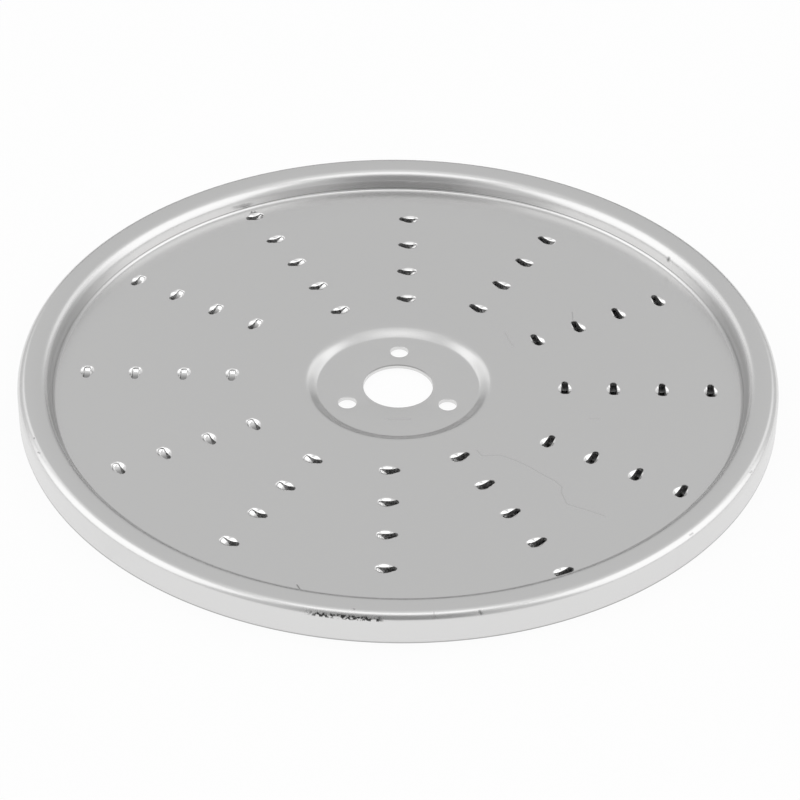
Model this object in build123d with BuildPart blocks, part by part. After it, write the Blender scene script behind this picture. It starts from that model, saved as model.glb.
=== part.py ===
from build123d import *
from math import radians, tan
import os

# Food processor grating disc: one pressed sheet of stainless steel, sizes in millimetres.
# It lies on the edge of its skirt, with +Z up and the origin on the resting plane, under the bore.
# The teeth are punched down through the floor, so their hoods stand out on the underside.

# Sheet and rim
sheet_thickness = 0.8
outer_diameter = 187.0
wall_height = 5.2  # floor to the top of the rim
wall_draft = 4.5  # degrees, inner wall from upright
rim_flat = 2.75  # level part of the rim's top
rim_outer_bend = 2.1  # top face into the skirt
rim_inner_bend = 3.4  # top face into the inner wall
floor_corner = 0.9  # inner wall into the floor

# Hub: a shallow round recess with the bore and the drive holes
hub_clearance = 0.55  # resting plane to the underside of the hub
hub_depth = 1.55  # floor to the bottom of the recess
hub_slope_run = 2.8  # radial width of the slope up to the floor
hub_lower_bend = 1.5
hub_upper_bend = 4.0
bore_diameter = 17.2
drive_hole_diameter = 4.5
drive_hole_count = 3
drive_hole_angle = 90.0  # first hole, from +X
hub_web = 3.4  # metal between the bore and a drive hole
hub_land = 3.6  # metal between a drive hole and the foot of the slope

# Teeth: two arms of punched teeth that step outwards as they turn
tooth_arms = 2
tooth_radial_step = 2.0
tooth_angle_step = -30.0
tooth_first_angle = 120.0
tooth_hub_margin = 10.3  # top of the hub's slope to the first tooth's hole
tooth_rim_margin = 3.0  # least distance from the last tooth's hole to the inner wall

# One tooth: a slot whose ramp runs down to a hole at its leading end, in a shallow leaf-shaped dish
tooth_width = 1.6  # the slot
hole_relief = 0.05  # the hole at the slot's end, wider than the slot on each side
tooth_lead = 0.45  # middle of the hole, ahead of the tooth's radial line
slot_tail = 4.0  # middle of the hole back to the end of the slot
slot_tail_depth = 0.4
slot_lip = 0.5  # middle of the hole back to the lip, the ramp's lowest edge
slot_lip_depth = 1.85
hood_wall = 0.5  # metal left around the slot, under the floor
dish_width = 3.2
dish_front = 2.1  # middle of the hole back to the dish's widest section
dish_back = 2.3  # widest section back to the tip of the dish
dish_depth = 0.9

# Worked out from the sizes above
hub_top = hub_clearance + sheet_thickness
floor_height = hub_top + hub_depth
rim_height = floor_height + wall_height
drive_hole_circle = bore_diameter + 2 * hub_web + drive_hole_diameter
hub_foot_radius = (drive_hole_circle + drive_hole_diameter) / 2 + hub_land
hub_radius = hub_foot_radius + hub_slope_run
outer_radius = outer_diameter / 2
rim_inner_reach = rim_inner_bend * tan(radians(90 - wall_draft) / 2)
wall_top_radius = outer_radius - rim_outer_bend - rim_flat - rim_inner_reach
wall_foot_radius = wall_top_radius - wall_height * tan(radians(wall_draft))
tooth_first_radius = hub_radius + tooth_hub_margin
teeth_per_arm = 1 + int((wall_foot_radius - tooth_rim_margin - tooth_first_radius) / tooth_radial_step)
tail_height = floor_height - slot_tail_depth
lip_height = floor_height - slot_lip_depth
hood_top = floor_height - sheet_thickness / 2
hood_tail = slot_tail + hood_wall

# The hood: the metal that the punch pushes out under the floor, open at its leading end
with BuildPart() as tooth_hood:
    with BuildSketch(Plane.YZ):
        Polygon(
            (-slot_lip, hood_top),
            (-hood_tail, hood_top),
            (-hood_tail, tail_height - hood_wall),
            (-slot_lip, lip_height - hood_wall),
            align=None,
        )
    extrude(amount=tooth_width / 2 + hood_wall, both=True)

# The punched opening, with its tail towards -Y: the dish, the slot and the hole
with BuildSketch(Plane.XY.offset(floor_height)) as dish_outline:
    Polygon(
        (0, 0),
        (-dish_width / 2, -dish_front),
        (0, -dish_front - dish_back),
        (dish_width / 2, -dish_front),
        align=None,
    )
with BuildPart() as tooth_opening:
    loft([dish_outline.sketch, Vertex(0, -dish_front, floor_height - dish_depth)], ruled=True)
    with BuildSketch(Plane.YZ):
        Polygon(
            (0, floor_height),
            (-slot_tail, floor_height),
            (-slot_tail, tail_height),
            (-slot_lip, lip_height),
            (0, lip_height),
            align=None,
        )
    extrude(amount=tooth_width / 2, both=True)
    with BuildSketch(Plane.XY.offset(floor_height)):
        Circle(tooth_width / 2 + hole_relief)
    extrude(amount=floor_height, both=True)

tooth_places = []
for step in range(teeth_per_arm):
    radius = tooth_first_radius + step * tooth_radial_step
    angle = tooth_first_angle + step * tooth_angle_step
    for place in PolarLocations(radius, tooth_arms, start_angle=angle):
        tooth_places.append(place * Pos(Y=tooth_lead))

# The disc: the sheet's section turned about the axis, then pierced
with BuildPart() as disc:
    with BuildSketch(Plane.XZ):
        with BuildLine():
            FilletPolyline(
                (bore_diameter / 2, hub_top),
                (hub_foot_radius, hub_top),
                (hub_radius, floor_height),
                (wall_foot_radius, floor_height),
                (wall_top_radius, rim_height),
                (outer_radius, rim_height),
                (outer_radius, 0),
                radius=[hub_lower_bend, hub_upper_bend, floor_corner, rim_inner_bend, rim_outer_bend],
            )
            offset(amount=sheet_thickness, side=Side.RIGHT)
        make_face()
    revolve(axis=Axis.Z)
    with PolarLocations(drive_hole_circle / 2, drive_hole_count, start_angle=drive_hole_angle):
        Hole(drive_hole_diameter / 2)
    with Locations(*tooth_places):
        add(tooth_hood.part)
        add(tooth_opening.part, mode=Mode.SUBTRACT)

disc.part.label = "grating_disc"
os.makedirs("parts", exist_ok=True)
export_step(disc.part, "parts/grating_disc.step")
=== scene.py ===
import math
import bmesh
import bpy
from mathutils import Matrix, Vector


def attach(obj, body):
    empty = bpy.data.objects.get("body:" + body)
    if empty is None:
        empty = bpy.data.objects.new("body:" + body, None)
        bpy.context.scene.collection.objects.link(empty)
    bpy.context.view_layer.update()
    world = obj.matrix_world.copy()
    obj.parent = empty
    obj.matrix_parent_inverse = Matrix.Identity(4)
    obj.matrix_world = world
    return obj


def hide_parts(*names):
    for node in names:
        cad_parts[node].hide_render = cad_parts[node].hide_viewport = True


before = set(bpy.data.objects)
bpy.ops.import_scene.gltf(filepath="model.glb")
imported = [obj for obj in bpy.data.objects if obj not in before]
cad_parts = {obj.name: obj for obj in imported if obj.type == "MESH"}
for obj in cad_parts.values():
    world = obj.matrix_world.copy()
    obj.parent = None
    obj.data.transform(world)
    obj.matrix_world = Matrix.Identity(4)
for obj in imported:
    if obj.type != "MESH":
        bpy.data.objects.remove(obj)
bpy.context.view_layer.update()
scene = bpy.context.scene
mm = 0.001
print("frame loaded")


def roundedPath(corners, bends, turnStep):
    # A section through (radius, height) corners, each inner corner rounded by its bend
    path = [Vector(corners[0])]
    for before, corner, after, bend in zip(corners, corners[1:], corners[2:], bends):
        corner = Vector(corner)
        inward = (Vector(before) - corner).normalized()
        onward = (Vector(after) - corner).normalized()
        half = inward.angle(onward) / 2
        middle = corner + (inward + onward).normalized() * (bend / math.sin(half))
        start = corner + inward * (bend / math.tan(half)) - middle
        end = corner + onward * (bend / math.tan(half)) - middle
        turn = start.angle_signed(end)
        count = max(2, math.ceil(abs(turn) / math.radians(turnStep)))
        for step in range(count + 1):
            spoke = start.copy()
            spoke.rotate(Matrix.Rotation(-turn * step / count, 2))
            path.append(middle + spoke)
    path.append(Vector(corners[-1]))
    return path


def splitLong(path, longest):
    # The same section with its long straight runs cut into shorter ones
    out = [path[0]]
    for start, end in zip(path, path[1:]):
        count = max(1, math.ceil((end - start).length / longest))
        out += [start.lerp(end, step / count) for step in range(1, count + 1)]
    return out


def spinPath(bm, path, steps, middle=(0.0, 0.0)):
    # Turns a section of (radius, height) points about an upright line
    verts = [bm.verts.new((middle[0] + point[0], middle[1], point[1])) for point in path]
    edges = [bm.edges.new(pair) for pair in zip(verts, verts[1:])]
    bmesh.ops.spin(bm, geom=verts + edges, cent=(middle[0], middle[1], 0.0), axis=(0.0, 0.0, 1.0),
                   dvec=(0.0, 0.0, 0.0), angle=math.tau, steps=steps, use_merge=True, use_duplicate=False)


# The disc in millimetres: one pressed sheet, modelled on its upper face and then given its thickness
disc = {
    "sheet": 0.8,
    "radius": 93.46,
    "rimHeight": 8.095,
    "wallTop": 85.5,
    "wallFoot": 85.09,
    "floorHeight": 2.9,
    "floorEdge": 83.0,  # outer edge of the flat floor
    "rimBends": (0.9, 3.4, 2.1),
    "rimRun": 1.4,  # longest straight run in the section
    "rimSteps": 288,
    "hubEdge": 25.4,  # inner edge of the flat floor
    "hubRadius": 22.9,
    "hubFoot": 20.1,
    "hubHeight": 1.35,
    "hubPlate": 18.9,
    "hubBends": (1.5, 4.0),
    "hubRun": 0.8,
    "hubSteps": 144,
    "bendStep": 8.0,  # degrees
    "bore": 8.6,
    "boreSteps": 96,
    "driveHole": 2.25,
    "driveCircle": 14.25,
    "driveCount": 3,
    "driveAngle": 90.0,
    "driveSteps": 48,
    "holeLip": 0.14,
    "lipShares": ((1.0, 0.0), (0.4, 0.15), (0.1, 0.5), (0.0, 1.0)),  # outwards and down
    "weld": 0.0005,
    "match": 0.01,  # how near a point has to be to count as on a circle
    "sharpAngle": 42.0,
}

tooth = {
    "arms": 2,
    "perArm": 25,
    "firstRadius": 33.2,
    "radialStep": 2.0,
    "firstAngle": 120.0,
    "angleStep": -30.0,
    "lead": 0.45,
    "hole": 0.72,
    "half": 0.82,  # half the slot's width
    "frontTurns": 12,
    "runSteps": 8,
    "tail": 4.0,
    "tailBend": 0.5,
    "tailTurns": 3,
    "tailDepth": 0.35,
    "lip": 0.5,
    "lipDepth": 1.85,
    "lipBlend": 0.3,
    "rampShares": (0.0, 0.3, 0.65),
    "wall": ((-0.09, 1.0), (-0.05, 0.6), (-0.015, 0.2), (0.03, 0.0)),  # outwards, share of the depth
    "dishShares": (0.2, 0.4, 0.6, 0.8, 1.0, 1.15),
    "dishReach": 1.1,
    "dishLeast": 0.12,
    "dishWidth": 0.85,
    "dishSlope": 0.6,
    "dishRound": 1.2,
    # the second material: torn metal, its tone darkened as painted shade in the slots and holes
    "shadedCutSlot": 1,  # second material, the torn metal
}


def slotOutline(grow):
    # The slot from above, grown outwards: round at its hole, square with round corners at its tail
    half = tooth["half"] + grow
    bend = tooth["tailBend"] + grow
    start = tooth["tail"] - tooth["tailBend"]
    front, run, tail = tooth["frontTurns"], tooth["runSteps"], tooth["tailTurns"]
    turns = [math.radians(90.0 + 180.0 * step / front) for step in range(front + 1)]
    points = [(half * math.cos(turn), half * math.sin(turn)) for turn in turns]
    points += [(start * step / run, -half) for step in range(1, run)]
    turns = [math.radians(90.0 * step / tail) for step in range(tail + 1)]
    points += [(start + bend * math.sin(turn), bend - half - bend * math.cos(turn)) for turn in turns]
    points += [(start + bend, 0.0)]
    points += [(start + bend * math.cos(turn), half - bend + bend * math.sin(turn)) for turn in turns]
    points += [(start * step / run, half) for step in range(run - 1, 0, -1)]
    return [Vector(point) for point in points]


def rampDepth(along):
    # Deepest at the lip beside the hole, and nothing on the hole's leading side
    share = min(1.0, max(0.0, (tooth["tail"] - along) / (tooth["tail"] - tooth["lip"])))
    opening = min(1.0, max(0.0, 0.5 + along / tooth["lipBlend"]))
    return opening * (tooth["tailDepth"] + share * (tooth["lipDepth"] - tooth["tailDepth"]))


def holeOutline(count):
    # As many points round the hole as the slot has, in step with its front half
    front = tooth["frontTurns"]
    points = []
    for step in range(count):
        turn = 180.0 * step / front if step <= front else 180.0 + 180.0 * (step - front) / (count - front)
        turn = math.radians(90.0 + turn)
        points.append(tooth["hole"] * Vector((math.cos(turn), math.sin(turn))))
    return points


def toothShape():
    # One tooth's rings of (along, across, depth): its hole, ramp, steep wall and the dished floor around it
    outline = slotOutline(0.0)
    foot = slotOutline(tooth["wall"][0][0])
    rings = []
    for share in tooth["rampShares"]:
        places = [start.lerp(end, share) for start, end in zip(holeOutline(len(outline)), foot)]
        rings.append([(place.x, place.y, rampDepth(place.x)) for place in places])
    widths = []
    for place in outline:
        swell = math.sin(math.pi * min(1.0, max(0.0, place.x / tooth["tail"]) / tooth["dishReach"]))
        widths.append(tooth["dishLeast"] + tooth["dishWidth"] * swell)
    edges = [tooth["dishSlope"] * (width - tooth["dishLeast"]) for width in widths]
    for grow, share in tooth["wall"]:
        rings.append([(place.x, place.y, edge + share * max(0.0, rampDepth(start.x) - edge))
                      for place, start, edge in zip(slotOutline(grow), outline, edges)])
    wider = slotOutline(1.0)
    for share in tooth["dishShares"]:
        fade = max(0.0, 1.0 - share) ** tooth["dishRound"]
        rings.append([(*start.lerp(end, width * share), edge * fade)
                      for start, end, width, edge in zip(outline, wider, widths, edges)])
    return rings


def addTooth(bm, rings, radius, angle):
    outward = Vector((math.cos(angle), math.sin(angle), 0.0))
    forward = Vector((-math.sin(angle), math.cos(angle), 0.0))
    hole = outward * radius + forward * tooth["lead"] + Vector((0.0, 0.0, disc["floorHeight"]))
    loops = []
    for ring in rings:
        loops.append([bm.verts.new(hole - forward * along + outward * across - Vector((0.0, 0.0, depth)))
                      for along, across, depth in ring])
    wallStart = len(tooth["rampShares"])
    wallEnd = wallStart + len(tooth["wall"]) - 1
    for place, (inner, outer) in enumerate(zip(loops, loops[1:])):
        for step in range(len(inner)):
            after = (step + 1) % len(inner)
            face = bm.faces.new((inner[step], outer[step], outer[after], inner[after]))
            face.material_index = tooth["shadedCutSlot"] if wallStart <= place < wallEnd else 0
    return loops[-1]


def ringEdges(bm, radius, height):
    # Open edges that lie on a level circle about the axis
    found = []
    for edge in bm.edges:
        if edge.is_boundary and all(abs(math.hypot(vert.co.x, vert.co.y) - radius) < disc["match"]
                                    and abs(vert.co.z - height) < disc["match"] for vert in edge.verts):
            found.append(edge)
    return found


def loopEdges(bm, loop):
    return [bm.edges.get((loop[step - 1], loop[step])) for step in range(len(loop))]


def fillFloor(bm):
    # The teeth come first, then the flat floor around them
    edges = ringEdges(bm, disc["floorEdge"], disc["floorHeight"])
    edges += ringEdges(bm, disc["hubEdge"], disc["floorHeight"])
    rings = toothShape()
    for step in range(tooth["perArm"]):
        radius = tooth["firstRadius"] + step * tooth["radialStep"]
        for arm in range(tooth["arms"]):
            angle = tooth["firstAngle"] + step * tooth["angleStep"] + arm * 360.0 / tooth["arms"]
            edges += loopEdges(bm, addTooth(bm, rings, radius, math.radians(angle)))
    bmesh.ops.triangle_fill(bm, use_beauty=True, use_dissolve=False, edges=edges, normal=(0.0, 0.0, 1.0))


def fillHub(bm):
    # The bore and the drive holes with their rounded lips, then the plate around them
    edges = ringEdges(bm, disc["hubPlate"], disc["hubHeight"])
    holes = [((0.0, 0.0), disc["bore"], disc["boreSteps"])]
    for step in range(disc["driveCount"]):
        turn = math.radians(disc["driveAngle"] + 360.0 * step / disc["driveCount"])
        place = (disc["driveCircle"] * math.cos(turn), disc["driveCircle"] * math.sin(turn))
        holes.append((place, disc["driveHole"], disc["driveSteps"]))
    for place, radius, steps in holes:
        before = set(bm.verts)
        lip = [(radius + disc["holeLip"] * out, disc["hubHeight"] - disc["holeLip"] * down)
               for out, down in disc["lipShares"]]
        spinPath(bm, lip, steps, place)
        for vert in bm.verts:
            if vert not in before:
                edges += [edge for edge in vert.link_edges if edge.is_boundary
                          and all(abs(end.co.z - disc["hubHeight"]) < disc["match"] for end in edge.verts)]
    edges = list(dict.fromkeys(edges))
    bmesh.ops.triangle_fill(bm, use_beauty=True, use_dissolve=False, edges=edges, normal=(0.0, 0.0, 1.0))


def thicken(bm):
    # Flat parts go straight down, bent parts along their normals, and the skirt's edge inwards
    drop = bm.verts.layers.float_vector.new("drop")
    for vert in bm.verts:
        reach = math.hypot(vert.co.x, vert.co.y)
        bent = reach > disc["floorEdge"] or disc["hubPlate"] < reach < disc["hubEdge"]
        direction = vert.normal if bent else Vector((0.0, 0.0, 1.0))
        if vert.co.z < disc["match"]:
            direction = Vector((vert.co.x, vert.co.y, 0.0)).normalized()
        vert[drop] = direction * disc["sheet"]
    under = bmesh.ops.extrude_face_region(bm, geom=list(bm.faces), use_keep_orig=True)
    lowered = {vert for vert in under["geom"] if isinstance(vert, bmesh.types.BMVert)}
    for vert in lowered:
        vert.co -= vert[drop]
    for face in bm.faces:
        below = sum(vert in lowered for vert in face.verts)
        reach = math.hypot(face.verts[0].co.x, face.verts[0].co.y)
        if 0 < below < len(face.verts) and disc["hubEdge"] < reach < disc["floorEdge"]:
            face.material_index = tooth["shadedCutSlot"]
    bm.verts.layers.float_vector.remove(drop)


def buildDisc():
    bm = bmesh.new()
    rim = roundedPath([(disc["floorEdge"], disc["floorHeight"]), (disc["wallFoot"], disc["floorHeight"]),
                       (disc["wallTop"], disc["rimHeight"]), (disc["radius"], disc["rimHeight"]),
                       (disc["radius"], 0.0)], disc["rimBends"], disc["bendStep"])
    spinPath(bm, splitLong(rim, disc["rimRun"]), disc["rimSteps"])
    hub = roundedPath([(disc["hubPlate"], disc["hubHeight"]), (disc["hubFoot"], disc["hubHeight"]),
                       (disc["hubRadius"], disc["floorHeight"]), (disc["hubEdge"], disc["floorHeight"])],
                      disc["hubBends"], disc["bendStep"])
    spinPath(bm, splitLong(hub, disc["hubRun"]), disc["hubSteps"])
    bmesh.ops.remove_doubles(bm, verts=bm.verts, dist=disc["weld"])
    fillFloor(bm)
    fillHub(bm)
    bmesh.ops.remove_doubles(bm, verts=bm.verts, dist=disc["weld"])
    bmesh.ops.recalc_face_normals(bm, faces=bm.faces)
    if max(bm.faces, key=lambda face: face.calc_center_median().z).normal.z < 0.0:
        bmesh.ops.reverse_faces(bm, faces=bm.faces)
    bm.normal_update()
    thicken(bm)
    bmesh.ops.recalc_face_normals(bm, faces=bm.faces)
    bmesh.ops.scale(bm, vec=(mm, mm, mm), verts=bm.verts)
    for face in bm.faces:
        face.smooth = True
    mesh = bpy.data.meshes.new("gratingDisc")
    bm.to_mesh(mesh)
    bm.free()
    mesh.set_sharp_from_angle(angle=math.radians(disc["sharpAngle"]))
    piece = bpy.data.objects.new("gratingDisc", mesh)
    scene.collection.objects.link(piece)
    return piece


discPiece = buildDisc()
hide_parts("grating_disc")
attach(discPiece, "root")
print("disc", len(discPiece.data.polygons), "faces")


def newMaterial(name):
    material = bpy.data.materials.new(name)
    material.use_nodes = True
    return material, material.node_tree.nodes["Principled BSDF"]


def mathNode(tree, operation, first, second=None):
    node = tree.nodes.new("ShaderNodeMath")
    node.operation = operation
    for socket, value in zip(node.inputs, (first, second)):
        if isinstance(value, float):
            socket.default_value = value
        elif value is not None:
            tree.links.new(value, socket)
    return node.outputs[0]


def chain(tree, operation, first, *others):
    for value in others:
        first = mathNode(tree, operation, first, value)
    return first


def rangeNode(tree, value, limits, result=(0.0, 1.0), unit=1.0):
    # A smooth step from the first limit to the second
    node = tree.nodes.new("ShaderNodeMapRange")
    node.interpolation_type = "SMOOTHSTEP"
    tree.links.new(value, node.inputs["Value"])
    node.inputs["From Min"].default_value = limits[0] * unit
    node.inputs["From Max"].default_value = limits[1] * unit
    node.inputs["To Min"].default_value = result[0]
    node.inputs["To Max"].default_value = result[1]
    return node.outputs["Result"]


def bandNode(tree, value, limits):
    # 1 between the two middle limits and 0 beyond the outer ones, in millimetres
    rise, full, fade, end = limits
    return mathNode(tree, "MULTIPLY", rangeNode(tree, value, (rise, full), unit=mm),
                    rangeNode(tree, value, (end, fade), unit=mm))


def vectorNode(tree, operation, first, second=None):
    node = tree.nodes.new("ShaderNodeVectorMath")
    node.operation = operation
    tree.links.new(first, node.inputs[0])
    if second is not None:
        tree.links.new(second, node.inputs[1])
    return node


def surfacePlace(tree):
    # A place on the surface, its three coordinates and its distance from the axis
    coords = tree.nodes.new("ShaderNodeTexCoord")
    split = tree.nodes.new("ShaderNodeSeparateXYZ")
    tree.links.new(coords.outputs["Object"], split.inputs[0])
    across, along, height = split.outputs
    reach = mathNode(tree, "SQRT", mathNode(tree, "ADD", mathNode(tree, "POWER", across, 2.0),
                                            mathNode(tree, "POWER", along, 2.0)))
    return coords.outputs["Object"], across, along, height, reach


def strokeGroup():
    # A soft line from Start to End, 1 along its middle and 0 beyond its width
    group = bpy.data.node_groups.new("stroke", "ShaderNodeTree")
    for name in ("Point", "Start", "End"):
        group.interface.new_socket(name=name, in_out="INPUT", socket_type="NodeSocketVector")
    group.interface.new_socket(name="Width", in_out="INPUT", socket_type="NodeSocketFloat")
    group.interface.new_socket(name="Mask", in_out="OUTPUT", socket_type="NodeSocketFloat")
    given = group.nodes.new("NodeGroupInput").outputs
    away = vectorNode(group, "SUBTRACT", given["Point"], given["Start"]).outputs[0]
    line = vectorNode(group, "SUBTRACT", given["End"], given["Start"]).outputs[0]
    share = mathNode(group, "DIVIDE", vectorNode(group, "DOT_PRODUCT", away, line).outputs["Value"],
                     vectorNode(group, "DOT_PRODUCT", line, line).outputs["Value"])
    share.node.use_clamp = True
    scaled = vectorNode(group, "SCALE", line)
    group.links.new(share, scaled.inputs["Scale"])
    gap = vectorNode(group, "LENGTH", vectorNode(group, "SUBTRACT", away, scaled.outputs[0]).outputs[0])
    mask = mathNode(group, "SUBTRACT", 1.0, mathNode(group, "DIVIDE", gap.outputs["Value"], given["Width"]))
    mask.node.use_clamp = True
    group.links.new(mask, group.nodes.new("NodeGroupOutput").inputs["Mask"])
    return group


def grainGroup(detail):
    # Fine mottling of the metal, from 0 to 1
    group = bpy.data.node_groups.new("grain", "ShaderNodeTree")
    group.interface.new_socket(name="Point", in_out="INPUT", socket_type="NodeSocketVector")
    group.interface.new_socket(name="Scale", in_out="INPUT", socket_type="NodeSocketFloat")
    group.interface.new_socket(name="Mask", in_out="OUTPUT", socket_type="NodeSocketFloat")
    given = group.nodes.new("NodeGroupInput").outputs
    noise = group.nodes.new("ShaderNodeTexNoise")
    noise.inputs["Detail"].default_value = detail
    group.links.new(given["Point"], noise.inputs["Vector"])
    group.links.new(given["Scale"], noise.inputs["Scale"])
    group.links.new(noise.outputs[0], group.nodes.new("NodeGroupOutput").inputs["Mask"])
    return group


# The sheet's satin finish and its painted shade in the teeth, at the bore, the skirt and the inner wall, with
# heights and distances in millimetres
steel = {
    "tone": 0.73,
    "tint": (1.0, 0.997, 0.994),
    "roughness": 0.27,
    "pressedHeight": (2.88, 2.75),
    "pressedTone": 0.25,
    "pressedPolish": 0.14,
    # painted shade from here to creaseShade: deep in the teeth, on the bore's far edge, along the skirt's lower
    # edge and on the inner wall
    "deepHeight": (2.45, 1.5),
    "deepShade": 0.7,
    "boreShadeWidth": 0.3,
    "boreShadeAlong": (3.0, 7.0),
    "skirtShadowHeight": (0.5, 0.1),
    "edgeShade": 0.45,
    "wallReach": (84.3, 84.7, 86.0, 86.6),
    "sideAcross": (68.0, 84.0),
    "sideShade": 0.35,
    "creaseHeight": (3.46, 3.56, 3.66, 3.76),
    "creaseShade": 0.42,
    "wearAndShadeRoughness": 0.25,
    "grainDetail": 3.0,
}

# The torn metal inside the teeth, its tone darkened as painted shade inside the slots and holes
cutWithShade = {
    "grain": 2200.0,
    "grainRange": (0.35, 0.65),
    "tone": (0.1, 0.55),
    "roughness": (0.7, 0.45),
}

# Wear: lines of (width, depth of tone, points), then the scuffed stretch of the rim's front edge
wear = {
    "lines": (
        (0.25, 0.14, ((19.5, -26.8, 2.9), (20.7, -29.0, 2.9), (25.0, -28.5, 2.9), (28.6, -30.3, 2.9),
                      (32.2, -32.9, 2.9), (35.0, -35.5, 2.9), (38.1, -38.0, 2.9), (39.7, -40.2, 2.9),
                      (39.4, -42.1, 2.9), (40.7, -46.5, 2.9), (46.1, -48.9, 2.9), (49.5, -50.7, 2.9))),
        (0.35, 0.08, ((26.5, 21.5, 2.9), (27.3, 18.5, 2.9), (28.5, 15.6, 2.9))),
        (0.2, 0.3, ((43.7, 30.7, 2.9), (43.8, 27.2, 2.9))),
        (0.3, 0.6, ((-21.4, -77.6, 2.9), (-20.7, -79.0, 2.9))),
        (0.25, 0.08, ((46.8, -13.7, 2.9), (49.4, -13.4, 2.9))),
        (0.3, 0.08, ((-2.4, -13.4, 1.35), (3.4, -13.2, 1.35))),
        (0.3, 0.5, ((-8.1, -91.3, 8.07), (-7.9, -91.4, 8.05))),
        (0.2, 0.4, ((9.86, -91.6, 7.95), (9.89, -92.64, 7.06))),
        (0.5, 0.6, ((20.1, -90.6, 7.5), (20.4, -90.9, 7.1))),
        (0.3, 0.5, ((-86.2, -32.1, 8.0), (-86.1, -32.4, 7.95))),
        (0.3, 0.5, ((-84.2, -37.7, 7.85), (-84.7, -37.2, 7.7))),
        (0.3, 0.35, ((84.4, -38.5, 7.6), (83.8, -39.3, 7.6))),
        (0.3, 0.35, ((69.2, -61.8, 7.55), (68.4, -62.6, 7.55))),
        (0.8, 0.75, ((68.9, 50.5, 6.3), (68.9, 50.5, 5.9))),
    ),
    "scuffAcross": (-19.5, -16.0, -2.8, -0.8),
    "scuffHeight": (6.1, 6.5, 7.1, 7.5),
    "scuffFront": -88.0,
    "scuffGrain": 1400.0,
    "scuffRange": (0.46, 0.55),
    "scuffTone": 0.92,
}
metalGrain = grainGroup(steel["grainDetail"])


def grainNode(tree, point, scale):
    node = tree.nodes.new("ShaderNodeGroup")
    node.node_tree = metalGrain
    tree.links.new(point, node.inputs["Point"])
    node.inputs["Scale"].default_value = scale
    return node.outputs["Mask"]


def tintedTone(tree, tone):
    colour = tree.nodes.new("ShaderNodeCombineColor")
    for socket, tint in zip(colour.inputs, steel["tint"]):
        tree.links.new(mathNode(tree, "MULTIPLY", tone, tint), socket)
    return colour.outputs[0]


def wearMask(tree, point, across, along, height):
    # How far each place is darkened, from 0 to 1
    stroke = strokeGroup()
    marks = []
    for width, tone, points in wear["lines"]:
        for start, end in zip(points, points[1:]):
            node = tree.nodes.new("ShaderNodeGroup")
            node.node_tree = stroke
            tree.links.new(point, node.inputs["Point"])
            node.inputs["Start"].default_value = Vector(start) * mm
            node.inputs["End"].default_value = Vector(end) * mm
            node.inputs["Width"].default_value = width * mm
            marks.append(mathNode(tree, "MULTIPLY", node.outputs["Mask"], tone))
    grain = grainNode(tree, point, wear["scuffGrain"])
    scuff = chain(tree, "MULTIPLY", mathNode(tree, "LESS_THAN", along, wear["scuffFront"] * mm),
                  bandNode(tree, across, wear["scuffAcross"]), bandNode(tree, height, wear["scuffHeight"]),
                  rangeNode(tree, grain, wear["scuffRange"]), wear["scuffTone"])
    return chain(tree, "MAXIMUM", *marks, scuff)


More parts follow.
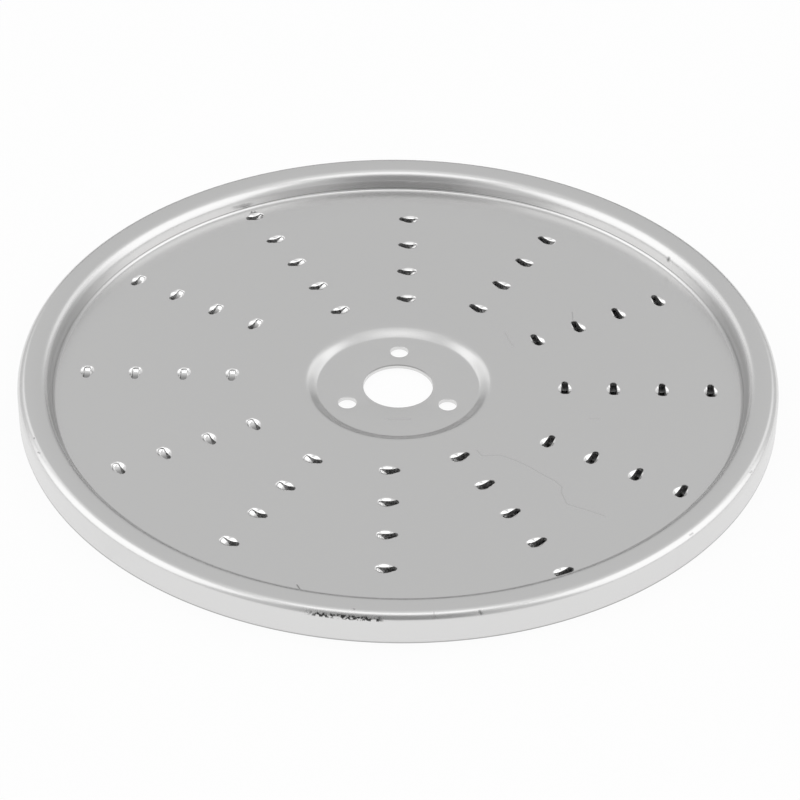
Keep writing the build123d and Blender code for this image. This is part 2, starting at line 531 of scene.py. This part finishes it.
def steelMaterial():
    # Brighter where the teeth are pressed, darker where it is worn, and painted shade deep inside the teeth, on
    # the bore's far edge, along the skirt's lower edge and on the inner wall
    material, shader = newMaterial("steel")
    tree = material.node_tree
    shader.inputs["Metallic"].default_value = 1.0
    point, across, along, height, reach = surfacePlace(tree)
    onFloor = mathNode(tree, "MULTIPLY", mathNode(tree, "GREATER_THAN", reach, disc["hubEdge"] * mm),
                       mathNode(tree, "LESS_THAN", reach, disc["floorEdge"] * mm))
    pressed = mathNode(tree, "MULTIPLY", onFloor, rangeNode(tree, height, steel["pressedHeight"], unit=mm))
    # painted shade: darker towards the bottom of the teeth's slots
    deep = mathNode(tree, "MULTIPLY", onFloor, rangeNode(tree, height, steel["deepHeight"], unit=mm))

    # Painted shade: a shaded line on the bore's far edge, a painted contact shadow along the skirt's lower
    # edge, and painted shade on the inner wall towards its left and right ends and along its foot
    # painted shade on the far lip of the bore
    paintedBoreShade = chain(tree, "MULTIPLY", mathNode(tree, "LESS_THAN", reach, (disc["bore"] + steel["boreShadeWidth"]) * mm),
                 mathNode(tree, "GREATER_THAN", height, (disc["hubHeight"] - disc["holeLip"]) * mm),
                 rangeNode(tree, along, steel["boreShadeAlong"], unit=mm))
    # painted contact shadow where the skirt meets the table
    paintedSkirtShadow = mathNode(tree, "MULTIPLY", mathNode(tree, "GREATER_THAN", reach, disc["floorEdge"] * mm),
                   rangeNode(tree, height, steel["skirtShadowHeight"], unit=mm))
    edges = mathNode(tree, "MULTIPLY", mathNode(tree, "MAXIMUM", paintedBoreShade, paintedSkirtShadow), steel["edgeShade"])
    # painted shade on the inner wall towards its left and right ends
    paintedSideShade = rangeNode(tree, mathNode(tree, "ABSOLUTE", across), steel["sideAcross"], unit=mm)
    paintedSideShade = mathNode(tree, "MULTIPLY", paintedSideShade, steel["sideShade"])
    # painted shade in the corner at the inner wall's foot
    paintedCreaseShade = mathNode(tree, "MULTIPLY", bandNode(tree, height, steel["creaseHeight"]), steel["creaseShade"])
    wall = chain(tree, "MULTIPLY", bandNode(tree, reach, steel["wallReach"]),
                 mathNode(tree, "GREATER_THAN", height, disc["floorHeight"] * mm),
                 mathNode(tree, "MAXIMUM", paintedSideShade, paintedCreaseShade))
    # the worn marks together with all the painted shade above
    wearAndPaintedShade = chain(tree, "MAXIMUM", wearMask(tree, point, across, along, height), edges, wall)

    tone = mathNode(tree, "ADD", steel["tone"], mathNode(tree, "MULTIPLY", pressed, steel["pressedTone"]))
    shade = mathNode(tree, "SUBTRACT", 1.0, mathNode(tree, "MULTIPLY", deep, steel["deepShade"]))
    tone = chain(tree, "MULTIPLY", tone, shade, mathNode(tree, "SUBTRACT", 1.0, wearAndPaintedShade))
    tree.links.new(tintedTone(tree, tone), shader.inputs["Base Color"])
    polish = mathNode(tree, "MULTIPLY", pressed, steel["pressedPolish"])
    roughness = mathNode(tree, "ADD", mathNode(tree, "SUBTRACT", steel["roughness"], polish),
                         mathNode(tree, "MULTIPLY", wearAndPaintedShade, steel["wearAndShadeRoughness"]))
    tree.links.new(roughness, shader.inputs["Roughness"])
    return material


def shadedCutMaterial():
    # Dull and darkened as painted shade inside the slots and holes, with brighter specks
    material, shader = newMaterial("steelCutShaded")
    tree = material.node_tree
    shader.inputs["Metallic"].default_value = 1.0
    coords = tree.nodes.new("ShaderNodeTexCoord")
    grain = grainNode(tree, coords.outputs["Object"], cutWithShade["grain"])
    tone = rangeNode(tree, grain, cutWithShade["grainRange"], cutWithShade["tone"])
    tree.links.new(tintedTone(tree, tone), shader.inputs["Base Color"])
    tree.links.new(rangeNode(tree, grain, cutWithShade["grainRange"], cutWithShade["roughness"]), shader.inputs["Roughness"])
    return material


discPiece.data.materials.append(steelMaterial())
discPiece.data.materials.append(shadedCutMaterial())
print("steel made")

# The studio in metres: lamps of (name, place, width, depth, power), cards of (name, place, size, tilt, colour)
studio = {
    "tableSize": 12.0,
    "tableColour": (0.9, 0.9, 0.9, 1.0),
    "tableRoughness": 0.9,
    "tableWhite": 0.92,
    "shadeInner": 0.024,
    "shadeOuter": 0.0925,
    "worldColour": (0.656, 0.656, 0.656, 1.0),
    "lamps": (
        ("topLamp", (0.0, -0.35, 1.3), 1.0, 0.55, 1.31),
        ("backLamp", (0.0, 0.2, 1.32), 0.9, 0.4, 0.22),
        ("leftLamp", (-1.25, -0.1, 0.85), 2.0, 1.5, 6.8),
        ("rightLamp", (1.25, -0.1, 0.85), 2.0, 1.5, 6.8),
        ("farLeftLamp", (-0.85, 1.2, 1.1), 0.6, 0.7, 0.6),
        ("farRightLamp", (0.85, 1.2, 1.1), 0.6, 0.7, 0.6),
    ),
    "cards": (
        ("card", (0.0, -1.35, 0.72), (1.1, 1.4), 62.0, (0.36, 0.36, 0.36, 1.0)),
        ("strip", (0.0, 1.7, 0.23), (1.6, 0.46), 90.0, (0.3, 0.3, 0.3, 1.0)),
    ),
}


def addPlane(name, width, depth, material):
    bm = bmesh.new()
    bmesh.ops.create_grid(bm, x_segments=1, y_segments=1, size=0.5)
    bmesh.ops.scale(bm, vec=(width, depth, 1.0), verts=bm.verts)
    mesh = bpy.data.meshes.new(name)
    bm.to_mesh(mesh)
    bm.free()
    mesh.materials.append(material)
    plane = bpy.data.objects.new(name, mesh)
    scene.collection.objects.link(plane)
    return plane


def tableMaterial():
    # White to the camera and in reflections, but plain and shaded under the disc
    material, shader = newMaterial("table")
    tree = material.node_tree
    shader.inputs["Base Color"].default_value = studio["tableColour"]
    shader.inputs["Roughness"].default_value = studio["tableRoughness"]
    reach = surfacePlace(tree)[-1]
    clear = mathNode(tree, "ADD", mathNode(tree, "LESS_THAN", reach, studio["shadeInner"]),
                     mathNode(tree, "GREATER_THAN", reach, studio["shadeOuter"]))
    ray = tree.nodes.new("ShaderNodeLightPath")
    seen = mathNode(tree, "ADD", ray.outputs["Is Camera Ray"],
                    mathNode(tree, "ADD", ray.outputs["Is Glossy Ray"], ray.outputs["Is Transmission Ray"]))
    glow = tree.nodes.new("ShaderNodeEmission")
    glow.inputs["Strength"].default_value = 1.0
    mix = tree.nodes.new("ShaderNodeMixShader")
    tree.links.new(chain(tree, "MULTIPLY", clear, seen, studio["tableWhite"]), mix.inputs[0])
    tree.links.new(shader.outputs[0], mix.inputs[1])
    tree.links.new(glow.outputs[0], mix.inputs[2])
    tree.links.new(mix.outputs[0], tree.nodes["Material Output"].inputs["Surface"])
    return material


addPlane("table", studio["tableSize"], studio["tableSize"], tableMaterial())

# Grey cards that show only in the metal
for name, place, (width, depth), tilt, colour in studio["cards"]:
    material, shader = newMaterial(name)
    shader.inputs["Base Color"].default_value = colour
    card = addPlane(name, width, depth, material)
    card.location = place
    card.rotation_euler = (math.radians(tilt), 0.0, 0.0)
    card.visible_camera = False

world = bpy.data.worlds.new("studio")
world.use_nodes = True
world.node_tree.nodes["Background"].inputs["Color"].default_value = studio["worldColour"]
scene.world = world

for name, place, width, depth, power in studio["lamps"]:
    lamp = bpy.data.lights.new(name, "AREA")
    lamp.shape = "RECTANGLE"
    lamp.size = width
    lamp.size_y = depth
    lamp.energy = power
    stand = bpy.data.objects.new(name, lamp)
    stand.location = place
    stand.rotation_euler = (-Vector(place)).to_track_quat("-Z", "Y").to_euler()
    scene.collection.objects.link(stand)
print("studio made")

view = {
    "elevation": 37.49,
    "heading": 0.73,
    "roll": 0.735,
    "distance": 0.7727,
    "target": (0.00051, -0.00388, 0.0),
    "lens": 140.885,
    "sensor": 36.0,
    "nearest": 0.01,
}
cameraData = bpy.data.cameras.new("camera")
cameraData.lens = view["lens"]
cameraData.sensor_width = view["sensor"]
cameraData.clip_start = view["nearest"]
camera = bpy.data.objects.new("camera", cameraData)
camera.matrix_world = (Matrix.Rotation(math.radians(view["heading"]), 4, "Z")
                       @ Matrix.Translation(view["target"])
                       @ Matrix.Rotation(math.radians(90.0 - view["elevation"]), 4, "X")
                       @ Matrix.Translation((0.0, 0.0, view["distance"]))
                       @ Matrix.Rotation(math.radians(view["roll"]), 4, "Z"))
scene.collection.objects.link(camera)
scene.camera = camera
scene.view_settings.view_transform = "Standard"
print("camera made")
